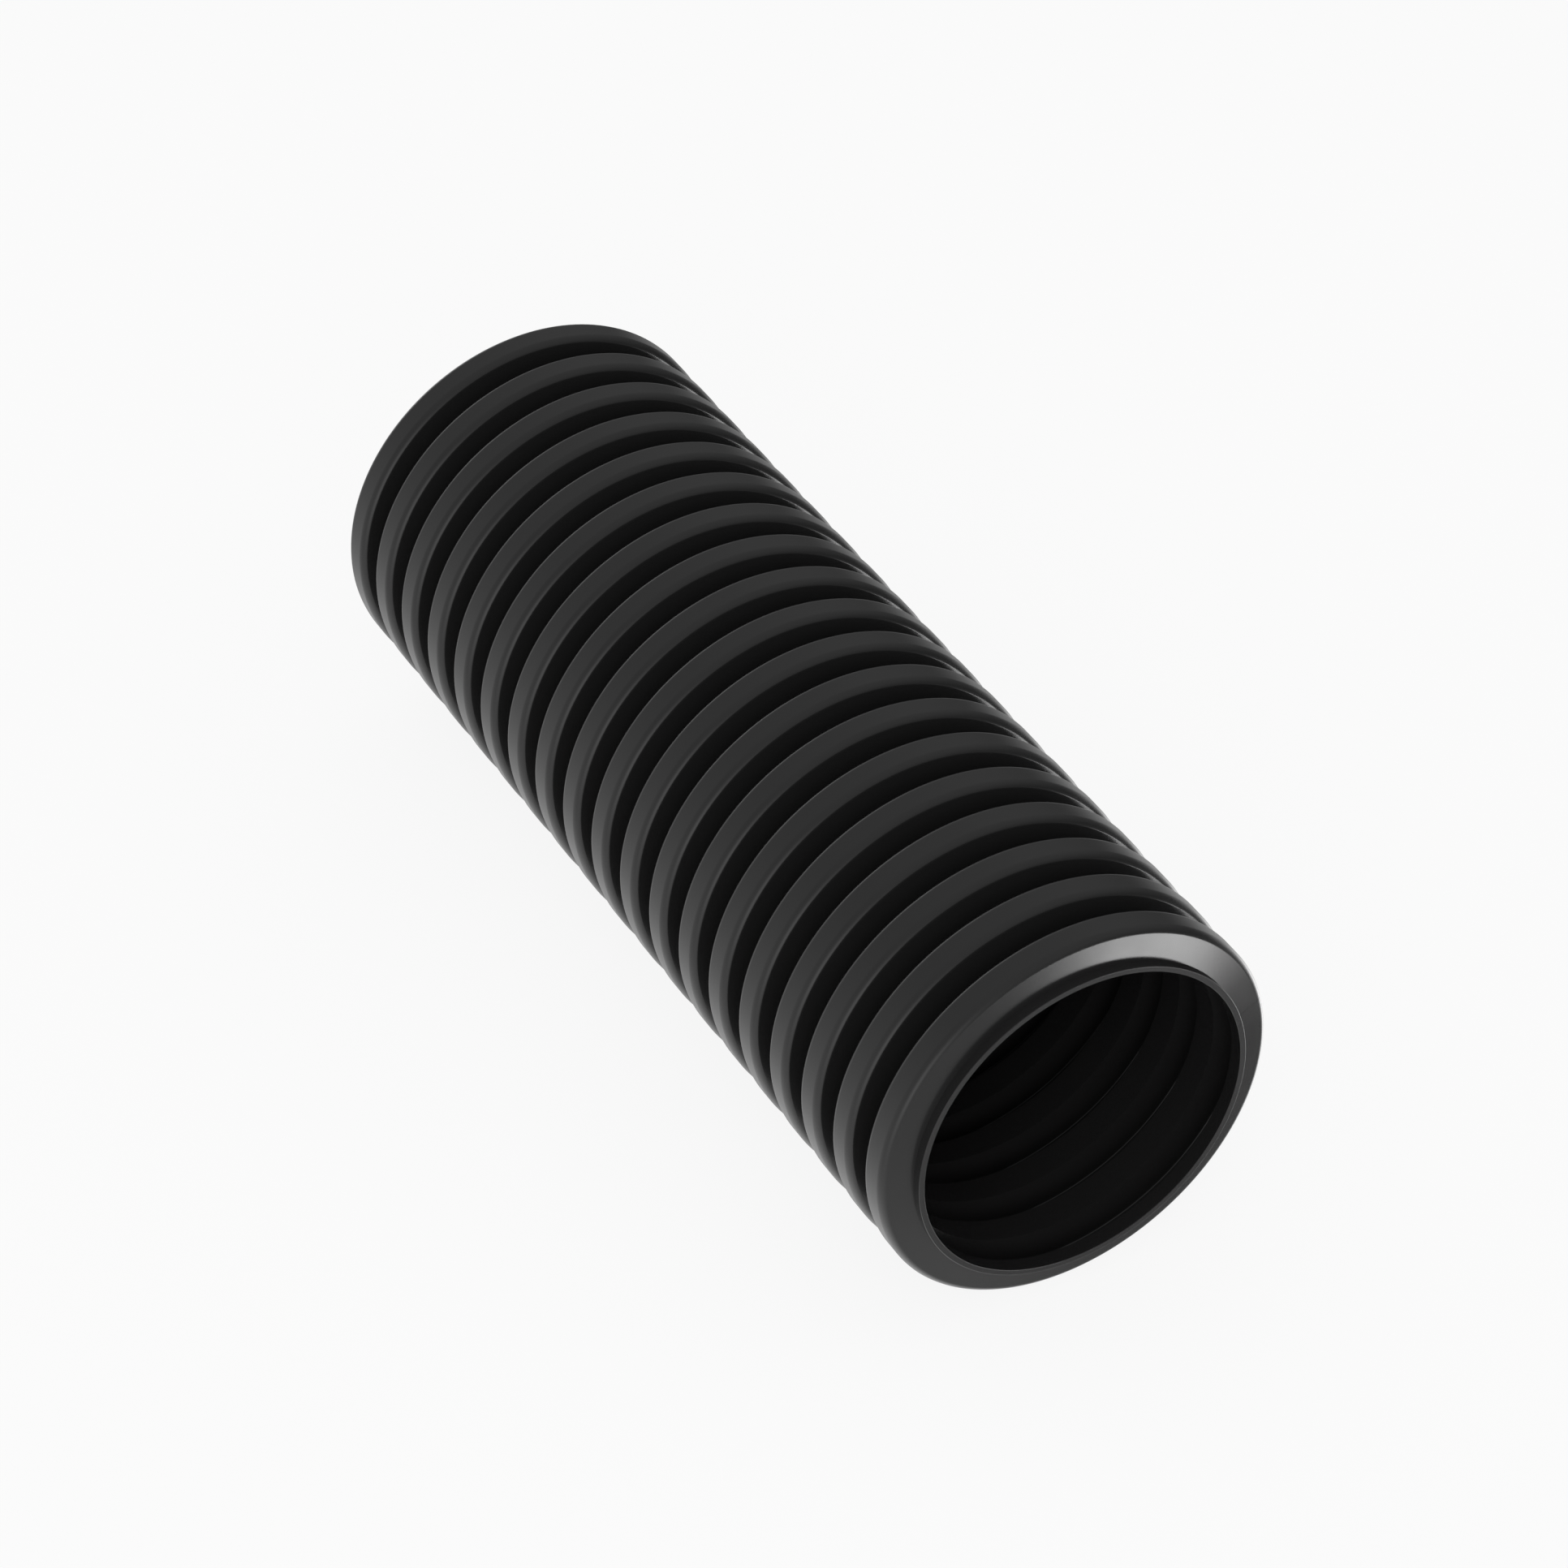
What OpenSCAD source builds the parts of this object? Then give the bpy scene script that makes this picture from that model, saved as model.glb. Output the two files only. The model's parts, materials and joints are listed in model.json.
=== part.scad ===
// Split wire loom: one cut length of convoluted plastic tube, lying on its crests.
// Millimetres. The tube runs along X with its middle at X = 0 and the floor at Z = 0.

/* [Tube] */
// clear diameter through the valleys
bore_d = 20.1; // [6:0.1:50]
// wall thickness, the same everywhere
wall = 0.36; // [0.25:0.01:0.45]

/* [Corrugation] */
// number of crests in the cut length
crest_count = 19; // [3:1:60]
// distance from one crest to the next
pitch = 3.45; // [3.2:0.05:5]
// height of a crest over the valley floor
crest_h = 1.89; // [1:0.01:3]
// width of a crest between its flanks, at its top
crest_w = 1.8; // [1.4:0.05:2.2]
// lean of each flank from square to the axis, in degrees
flank_lean = 9; // [0:0.5:12]
// outside radius on the two edges of a crest
crest_r = 0.45; // [0.4:0.01:0.5]
// outside radius where a flank meets the valley
foot_r = 0.1; // [0.05:0.01:0.2]
// valley floor left between the last flank and the cut end
end_l = 0.6; // [0.2:0.05:1]

/* [Slit] */
// gap between the closed lips of the lengthwise slit
slit_gap = 0.02; // [0.02:0.01:4]
// height of the slit above level on the +Y side, in degrees
slit_angle = 15; // [-60:1:80]

/* [Hidden] */
valley_r = bore_d / 2 + wall;
outer_r = valley_r + crest_h;
foot_w = crest_w + 2 * crest_h * tan(flank_lean);
tube_l = (crest_count - 1) * pitch + foot_w + 2 * end_l;
open_angle = 2 * asin(slit_gap / 2 / outer_r);
arc_steps = 4;
$fn = 180;

function unit(v) = v / norm(v);
function left_of(v) = [-v[1], v[0]];
function way_in(p, i) = unit(p[i] - p[i - 1]);
function way_out(p, i) = unit(p[i + 1] - p[i]);

// the step from a corner to where its two sides meet once both move left by one
function mitre(p, i) =
    (left_of(way_in(p, i)) + left_of(way_out(p, i))) / (1 + way_in(p, i) * way_out(p, i));

// the arc that rounds corner i of the path p with radius r
function corner_arc(p, i, r) =
    let (side = sign(cross(way_in(p, i), way_out(p, i))))
    let (centre = p[i] + side * r * mitre(p, i))
    [for (k = [0 : arc_steps])
        let (way = unit(way_in(p, i) * (arc_steps - k) + way_out(p, i) * k))
        centre - side * r * left_of(way)];

// a path with its crest corners rounded by a and its foot corners by b, or left sharp where that is 0
function rounded(p, a, b) = [
    p[0],
    for (i = [1 : len(p) - 2])
        let (r = cross(way_in(p, i), way_out(p, i)) > 0 ? a : b)
        each r > 0 ? corner_arc(p, i, r) : [p[i]],
    p[len(p) - 1]
];

// a path moved left by t
function moved(p, t) = [
    p[0] + t * left_of(way_out(p, 0)),
    for (i = [1 : len(p) - 2]) p[i] + t * mitre(p, i),
    p[len(p) - 1] + t * left_of(way_in(p, len(p) - 1))
];

function reversed(p) = [for (i = [len(p) - 1 : -1 : 0]) p[i]];

// the four corners of crest i as [radius, distance along the tube]
function crest_corners(i) =
    let (mid = (i - (crest_count - 1) / 2) * pitch)
    [
        [valley_r, mid - foot_w / 2],
        [outer_r, mid - crest_w / 2],
        [outer_r, mid + crest_w / 2],
        [valley_r, mid + foot_w / 2]
    ];

corner_path = [
    [valley_r, -tube_l / 2],
    for (i = [0 : crest_count - 1]) each crest_corners(i),
    [valley_r, tube_l / 2]
];

// the cut face of the wall along one side of the tube, with the inside foot corners sharp
module wall_section() {
    outside = rounded(corner_path, crest_r, foot_r);
    inside = rounded(moved(corner_path, wall), crest_r - wall, 0);
    polygon(concat(outside, reversed(inside)));
}

// the wall turned about the axis, short of a full turn by the closed slit
module loom_tube() {
    color("#222325")
    translate([0, 0, outer_r])
    rotate([0, 90, 0])
    rotate([0, 0, 90 + slit_angle + open_angle / 2])
    rotate_extrude(angle = 360 - open_angle)
    wall_section();
}

loom_tube();
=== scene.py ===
# Split wire loom: a cut length of black convoluted plastic tube on a pale floor.
import json
import math

import bpy
import numpy as np
from mathutils import Matrix, Vector


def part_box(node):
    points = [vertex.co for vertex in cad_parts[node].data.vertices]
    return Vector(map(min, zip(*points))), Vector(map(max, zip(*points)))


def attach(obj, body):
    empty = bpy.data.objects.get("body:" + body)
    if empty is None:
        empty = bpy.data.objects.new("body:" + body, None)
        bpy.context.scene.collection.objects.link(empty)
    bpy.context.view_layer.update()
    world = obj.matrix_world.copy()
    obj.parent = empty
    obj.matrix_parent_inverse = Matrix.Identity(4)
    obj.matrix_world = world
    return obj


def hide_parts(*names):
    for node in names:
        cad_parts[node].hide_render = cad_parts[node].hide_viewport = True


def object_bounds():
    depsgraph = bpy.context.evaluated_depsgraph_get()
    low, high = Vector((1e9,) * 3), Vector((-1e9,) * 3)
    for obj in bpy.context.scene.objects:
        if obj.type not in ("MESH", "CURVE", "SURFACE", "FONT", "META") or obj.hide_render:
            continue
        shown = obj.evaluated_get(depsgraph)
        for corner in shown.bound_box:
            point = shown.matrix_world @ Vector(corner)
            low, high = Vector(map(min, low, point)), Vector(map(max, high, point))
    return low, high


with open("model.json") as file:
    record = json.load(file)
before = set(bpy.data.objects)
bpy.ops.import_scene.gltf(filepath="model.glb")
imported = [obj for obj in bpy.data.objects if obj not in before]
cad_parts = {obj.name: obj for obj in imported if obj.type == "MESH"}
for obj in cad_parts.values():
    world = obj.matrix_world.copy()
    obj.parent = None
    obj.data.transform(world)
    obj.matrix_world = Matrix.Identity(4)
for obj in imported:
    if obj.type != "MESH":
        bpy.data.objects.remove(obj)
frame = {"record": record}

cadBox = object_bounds()
millimetre = 0.001


class Sock:
    # a node output that can be used in ordinary sums, each adding a Math node
    def __init__(self, tree, socket):
        self.tree, self.socket = tree, socket

    def maths(self, operation, first, second):
        return addNode(self.tree, "ShaderNodeMath", {"operation": operation}, {0: first, 1: second})

    def __add__(self, other):
        return self.maths("ADD", self, other)

    def __radd__(self, other):
        return self.maths("ADD", other, self)

    def __sub__(self, other):
        return self.maths("SUBTRACT", self, other)

    def __rsub__(self, other):
        return self.maths("SUBTRACT", other, self)

    def __mul__(self, other):
        return self.maths("MULTIPLY", self, other)

    def __rmul__(self, other):
        return self.maths("MULTIPLY", other, self)

    def __pow__(self, other):
        return self.maths("POWER", self, other)

    def least(self, other):
        return self.maths("MINIMUM", self, other)

    def most(self, other):
        return self.maths("MAXIMUM", self, other)


def addNode(tree, kind, settings=None, values=None, output=0):
    # any node: its settings first, then the values or links of its sockets
    node = tree.nodes.new(kind)
    for name, value in (settings or {}).items():
        setattr(node, name, value)
    for key, value in (values or {}).items():
        if isinstance(value, Sock):
            tree.links.new(value.socket, node.inputs[key])
        else:
            node.inputs[key].default_value = value
    return Sock(tree, node.outputs[output])


def newMaterial(name):
    # an empty node tree and its output node
    material = bpy.data.materials.new(name)
    material.use_nodes = True
    material.node_tree.nodes.clear()
    return material, material.node_tree, material.node_tree.nodes.new("ShaderNodeOutputMaterial")


mounts = {mount["name"]: mount for mount in frame["record"]["mounts"]}
boreRadius = mounts["bore"]["dims"]["r_mm"] * millimetre
crestsRadius = mounts["crests"]["dims"]["r_mm"] * millimetre  # outside, over the crests
axisHeight = mounts["crests"]["pos_m"][2]

tube = {
    "crests": 19,
    "pitch": 3.45 * millimetre,
    "wall": 0.36 * millimetre,
    "crestWidth": 1.80 * millimetre,  # over the flanks, at the top
    "flankLean": math.radians(9.0),
    "crestRadius": 0.45 * millimetre,
    "innerCrestRadius": 0.15 * millimetre,  # left in the corners of a crest's groove, inside
    "crestExtra": 0.12 * millimetre,  # how much thicker the wall is over a crest
    "cutEdge": 0.04 * millimetre,  # radius left on the two cut ends
    "slitGap": 0.02 * millimetre,
    "slitAngle": math.radians(15.0),  # above level on the +Y side
    "cornerSteps": 5,
    "turnSteps": 168,
}


def roundCorners(points, radii, steps):
    # each corner becomes an arc of its radius, or stays one sharp point where that is 0
    # gives the points, and the outward normals just before and just after each of them
    # the outward normal is the right-hand side of the way along the path
    ways = np.diff(points, axis=0)
    ways /= np.linalg.norm(ways, axis=1, keepdims=True)
    first, second = ways[:-1, None], ways[1:, None]
    lefts = np.stack([-ways[:, 1], ways[:, 0]], axis=1)
    turn = first[:, 0, 0] * second[:, 0, 1] - first[:, 0, 1] * second[:, 0, 0]
    side = np.sign(turn)[:, None]
    mitre = (lefts[:-1] + lefts[1:]) / (1 + np.sum(ways[:-1] * ways[1:], axis=1, keepdims=True))
    centres = points[1:-1] + side * radii[:, None] * mitre
    share = np.linspace(0, 1, steps + 1)[None, :]
    bend = np.arctan2(turn, np.sum(ways[:-1] * ways[1:], axis=1))[:, None] * share
    turned = np.stack([
        first[..., 0] * np.cos(bend) - first[..., 1] * np.sin(bend),
        first[..., 0] * np.sin(bend) + first[..., 1] * np.cos(bend)], axis=-1)
    left = np.stack([-turned[..., 1], turned[..., 0]], axis=-1)
    arcs = centres[:, None] - side[:, None] * radii[:, None, None] * left
    sharp = (radii == 0)[:, None]
    kept = ~sharp | (np.arange(steps + 1) == 0)
    after = np.where(sharp[..., None], left[:, -1:], left)
    return arcs[kept], -left[kept], -after[kept]


def moveLeft(points, distance):
    # the path moved to its left, its corners kept sharp
    ways = np.diff(points, axis=0)
    ways /= np.linalg.norm(ways, axis=1, keepdims=True)
    lefts = np.stack([-ways[:, 1], ways[:, 0]], axis=1)
    mitre = (lefts[:-1] + lefts[1:]) / (1 + np.sum(ways[:-1] * ways[1:], axis=1, keepdims=True))
    return points + distance * np.concatenate([lefts[:1], mitre, lefts[-1:]])


def wallSection(size):
    # the wall cut along the axis, as a closed loop of [radius, distance along] with its normals
    low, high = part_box("loom_tube")
    length = high[0] - low[0]
    valley = boreRadius + size["wall"]
    halfTop = size["crestWidth"] / 2
    halfFoot = halfTop + (crestsRadius - valley) * math.tan(size["flankLean"])
    middles = (np.arange(size["crests"]) - (size["crests"] - 1) / 2) * size["pitch"]
    radius = np.tile([valley, crestsRadius, crestsRadius, valley], size["crests"])
    along = (middles[:, None] + np.array([-halfFoot, -halfTop, halfTop, halfFoot])).ravel()
    ends = np.array([[valley, -length / 2], [valley, length / 2]])
    path = np.concatenate([ends[:1], np.stack([radius, along], axis=1), ends[1:]])
    isCrest = np.tile([False, True, True, False], size["crests"])
    inside = moveLeft(path, size["wall"])
    # a groove's inside corners slide down its flanks by the extra thickness; the feet are sharp
    slide = np.where(isCrest, size["crestExtra"], 0)
    outwards = np.tile([0, -1, 1, 0], size["crests"]) * math.tan(size["flankLean"])
    inside[1:-1] += np.stack([-slide, slide * outwards], axis=1)
    outerRadii = np.where(isCrest, size["crestRadius"], 0)
    innerRadii = np.where(isCrest, size["innerCrestRadius"], 0)
    outerLine = roundCorners(path, outerRadii, size["cornerSteps"])
    innerLine = roundCorners(inside, innerRadii, size["cornerSteps"])
    # the two corners of each cut face, between their neighbours on the loop
    farCut = np.array([innerLine[0][0], inside[0], path[0], outerLine[0][0]])
    nearCut = np.array([outerLine[0][-1], path[-1], inside[-1], innerLine[0][-1]])
    edge = np.full(2, size["cutEdge"])
    far = roundCorners(farCut, edge, size["cornerSteps"])
    near = roundCorners(nearCut, edge, size["cornerSteps"])
    half = size["cornerSteps"] + 1
    inner = (innerLine[0][::-1], -innerLine[2][::-1], -innerLine[1][::-1])
    return tuple(np.concatenate([far[k][half:], outerLine[k], near[k], inner[k], far[k][:half]])
                 for k in range(3))


def turnedTube(size):
    # the section turned about the tube's axis, which lies along X at half its height
    # a point at radius r and angle a is (along, r cos a, r sin a + axis height)
    section, before, after = wallSection(size)
    gap = 2 * math.asin(size["slitGap"] / 2 / crestsRadius)
    angles = size["slitAngle"] + np.linspace(gap / 2, 2 * math.pi - gap / 2, size["turnSteps"] + 1)
    cos, sin = np.cos(angles)[:, None], np.sin(angles)[:, None]

    def turned(line):
        along = np.broadcast_to(line[:, 1], (len(angles), len(line)))
        return np.stack([along, line[:, 0] * cos, line[:, 0] * sin], axis=-1)

    points = turned(section) + np.array([0, 0, axisHeight])
    before, after = turned(before), turned(after)
    count, turns = len(section), len(angles)
    here = np.arange(count)
    following = np.roll(here, -1)
    ring = (np.arange(turns - 1) * count)[:, None]
    skin = np.stack([ring + here, ring + count + here, ring + count + following, ring + following], axis=-1)
    # each lip is a strip of four-sided faces between the outer and the inner line
    lipLeft = np.arange(count // 2 - 1)
    lipRight = count - 1 - lipLeft
    lip = np.stack([lipLeft, lipLeft + 1, lipRight - 1, lipRight], axis=-1)
    lastLip = (lip + (turns - 1) * count)[:, ::-1]
    faces = np.concatenate([skin.reshape(-1, 4), lip, lastLip])
    lipNormal = np.array([0, math.sin(angles[0]), -math.cos(angles[0])])
    lastNormal = np.array([0, -math.sin(angles[-1]), math.cos(angles[-1])])
    nextBefore = before[:, following]
    skinNormals = np.stack([after[:-1], after[1:], nextBefore[1:], nextBefore[:-1]], axis=2)
    cornerNormals = np.concatenate([
        skinNormals.reshape(-1, 3),
        np.tile(lipNormal, (lip.size, 1)),
        np.tile(lastNormal, (lip.size, 1))])
    return points.reshape(-1, 3), faces, cornerNormals


def meshPiece(name, points, faces, cornerNormals):
    # one closed mesh from arrays, shaded by the surface's own normals
    mesh = bpy.data.meshes.new(name)
    mesh.vertices.add(len(points))
    mesh.vertices.foreach_set("co", points.astype(np.float32).ravel())
    mesh.loops.add(faces.size)
    mesh.loops.foreach_set("vertex_index", faces.astype(np.int32).ravel())
    mesh.polygons.add(len(faces))
    mesh.polygons.foreach_set("loop_start", np.arange(0, faces.size, 4, dtype=np.int32))
    mesh.update(calc_edges=True)
    mesh.validate()
    mesh.polygons.foreach_set("use_smooth", np.ones(len(faces), dtype=bool))
    mesh.normals_split_custom_set(cornerNormals.tolist())
    piece = bpy.data.objects.new(name, mesh)
    bpy.context.collection.objects.link(piece)
    return piece


plastic = {
    "color": (0.013, 0.013, 0.013, 1),
    "roughness": 0.20,
    "roughnessSpread": 0.04,
    "mottleSize": 2.5 * millimetre,
    "mottleDetail": 3.0,
    "grainSize": 0.12 * millimetre,
    "grainDetail": 2.0,
    "grainDepth": 0.0015 * millimetre,
    "indexOfRefraction": 1.5,
}


def blackPlastic(look):
    # semi-matt moulded black plastic: a slow mottle in the gloss and a very fine grain
    material, tree, out = newMaterial("black_plastic")
    place = addNode(tree, "ShaderNodeTexCoord", output="Object")
    mottle = addNode(tree, "ShaderNodeTexNoise", {},
                     {"Vector": place, "Scale": 1 / look["mottleSize"], "Detail": look["mottleDetail"]})
    grain = addNode(tree, "ShaderNodeTexNoise", {},
                    {"Vector": place, "Scale": 1 / look["grainSize"], "Detail": look["grainDetail"]})
    rough = look["roughness"] + (mottle - 0.5) * (2 * look["roughnessSpread"])
    bump = addNode(tree, "ShaderNodeBump", {},
                   {"Height": grain, "Strength": 1.0, "Distance": look["grainDepth"]})
    shader = addNode(tree, "ShaderNodeBsdfPrincipled", {}, {
        "Base Color": look["color"], "Roughness": rough, "Normal": bump,
        "IOR": look["indexOfRefraction"]})
    tree.links.new(shader.socket, out.inputs["Surface"])
    return material


tubePiece = meshPiece("convoluted_tube", *turnedTube(tube))
tubePiece.data.materials.append(blackPlastic(plastic))
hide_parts("loom_tube")
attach(tubePiece, "root")
print("tube:", len(tubePiece.data.polygons), "faces")


studio = {
    "floorSize": 1.6,
    "floorColor": 0.8,
    "floorGlow": 0.88,  # share of the floor that is plain white, the rest takes the shadow
    "skyLow": 0.40,  # the sky's light on matt surfaces, at the horizon
    "skyHigh": 0.85,  # and overhead
    # what polished things see all round: an even level, its rise overhead, its rise below and the fall
    # of that towards +Y, its fall towards +Y within a height of the horizon, and soft boxes, each
    # given by its turn from +X and its height in degrees, its level, its tightness and its flatness;
    # a level under 0 is a dark patch
    "roomLevel": 0.36,
    "roomAbove": 0.07,
    "roomBelow": 0.40,
    "roomBelowSide": 0.51,
    "roomSide": 0.29,
    "roomHeight": 0.6,
    "softBoxes": [
        (-33, -4, 0.9, 14, 1), (-64, -80, 0.85, 7, 1), (98, -33, 4.6, 20, 1),
        (36, -27.5, 8.0, 250, 5), (56, -55, -0.4, 25, 1), (180, 0, 1.2, 24, 1)],
    "lampPlace": (0.33, -0.23, 0.29),
    "lampSize": 0.35,
    "lampPower": 0.74,
}


def rayKinds(tree):
    # 1 for the camera's own rays, and 1 for those from polished or clear surfaces
    rays = tree.nodes.new("ShaderNodeLightPath")
    camera, glossy, clear = (Sock(tree, rays.outputs["Is " + kind + " Ray"])
                             for kind in ("Camera", "Glossy", "Transmission"))
    return camera, glossy.most(clear)


def paleFloor(look):
    # white to the camera, with the diffuse share keeping the shadow
    material, tree, out = newMaterial("pale_floor")
    camera, mirrored = rayKinds(tree)
    matt = addNode(tree, "ShaderNodeBsdfDiffuse", {}, {"Color": (look["floorColor"],) * 3 + (1,)})
    glow = addNode(tree, "ShaderNodeEmission", {}, {"Color": (1, 1, 1, 1), "Strength": camera + mirrored})
    share = (camera + mirrored) * look["floorGlow"]
    mixed = addNode(tree, "ShaderNodeMixShader", {}, {0: share, 1: matt, 2: glow})
    tree.links.new(mixed.socket, out.inputs["Surface"])
    material.cycles.emission_sampling = "NONE"
    return material


def softSky(look):
    # white to the camera, a plain sky to matt surfaces, and the room with its boxes to polished ones
    # a box adds its level times the cosine from its middle, raised to its tightness and cut off flat
    world = bpy.data.worlds.new("soft_sky")
    bpy.context.scene.world = world
    world.use_nodes = True
    world.cycles.sampling_method = "NONE"
    tree = world.node_tree
    tree.nodes.clear()
    out = tree.nodes.new("ShaderNodeOutputWorld")
    camera, mirrored = rayKinds(tree)
    way = addNode(tree, "ShaderNodeTexCoord", output="Generated")
    ahead, side, up = (addNode(tree, "ShaderNodeSeparateXYZ", {}, {0: way}, output=axis)
                       for axis in range(3))
    above, below = up.most(0.0), (-1 * up).most(0.0)
    low = (1 - (above + below) * (1 / look["roomHeight"])).most(0.0)
    seen = look["roomLevel"] + above * look["roomAbove"] - low * side * look["roomSide"]
    seen = seen + below * (look["roomBelow"] - side * look["roomBelowSide"])
    for turn, height, level, tightness, flatness in look["softBoxes"]:
        turn, height = math.radians(turn), math.radians(height)
        facing = ahead * (math.cos(height) * math.cos(turn)) + side * (math.cos(height) * math.sin(turn))
        facing = (facing + up * math.sin(height)).most(0.0)
        seen = seen + (facing ** tightness * flatness).least(1.0) * level
    seen = seen.most(0.0)
    matt = look["skyLow"] + above * (look["skyHigh"] - look["skyLow"])
    strength = matt + mirrored * (seen - matt)
    strength = strength + camera * (1.0 - strength)
    glow = addNode(tree, "ShaderNodeBackground", {}, {"Color": (1, 1, 1, 1), "Strength": strength})
    tree.links.new(glow.socket, out.inputs["Surface"])


def softLamp(look):
    # a disk that faces the tube and lights what is matt, but isn't mirrored
    lamp = bpy.data.lights.new("keyLamp", "AREA")
    lamp.shape = "DISK"
    lamp.size = look["lampSize"]
    lamp.energy = look["lampPower"]
    holder = bpy.data.objects.new("keyLamp", lamp)
    bpy.context.collection.objects.link(holder)
    place = Vector(look["lampPlace"])
    holder.location = place
    holder.rotation_euler = (-place).to_track_quat("-Z", "Y").to_euler()
    holder.visible_glossy = False


def makeFloor(look):
    half = look["floorSize"] / 2
    mesh = bpy.data.meshes.new("floor")
    corners = [(-half, -half, 0), (half, -half, 0), (half, half, 0), (-half, half, 0)]
    mesh.from_pydata(corners, [], [(0, 1, 2, 3)])
    floor = bpy.data.objects.new("floor", mesh)
    bpy.context.collection.objects.link(floor)
    mesh.materials.append(paleFloor(look))
    floor.visible_glossy = False  # polished things see the world below the horizon instead


makeFloor(studio)
softSky(studio)
softLamp(studio)
print("floor and light")

view = {
    "lens": 125.48,
    "sensor": 36.0,
    # the mouth's centre from the camera: ahead, to the right and down, in radii over the crests
    "mouthFromCamera": (24.01478, 1.32060, 1.49018),
    "heading": math.radians(150.293),  # the way it looks, turned from +X
    "dip": math.radians(40.107),  # and below level
    "nearest": 0.01,
    "farthest": 10.0,
}


def placeCamera(look):
    # the camera's place is the mouth's centre less its offset from the camera
    mouth = Vector((cadBox[1][0], 0, axisHeight))
    heading, dip = look["heading"], look["dip"]
    ahead = Vector((math.cos(dip) * math.cos(heading), math.cos(dip) * math.sin(heading), -math.sin(dip)))
    right = Vector((math.sin(heading), -math.cos(heading), 0))
    down = ahead.cross(right)
    far, aside, below = look["mouthFromCamera"]
    offset = far * ahead + aside * right + below * down
    lens = bpy.data.cameras.new("camera")
    lens.lens, lens.sensor_width = look["lens"], look["sensor"]
    camera = bpy.data.objects.new("camera", lens)
    bpy.context.collection.objects.link(camera)
    turn = Matrix((right, -down, -ahead)).transposed().to_quaternion()
    camera.rotation_mode = "QUATERNION"
    camera.rotation_quaternion = turn
    camera.location = mouth - offset * crestsRadius
    lens.clip_start, lens.clip_end = look["nearest"], look["farthest"]
    bpy.context.scene.camera = camera


placeCamera(view)
bpy.context.scene.view_settings.view_transform = "Standard"
print("camera")
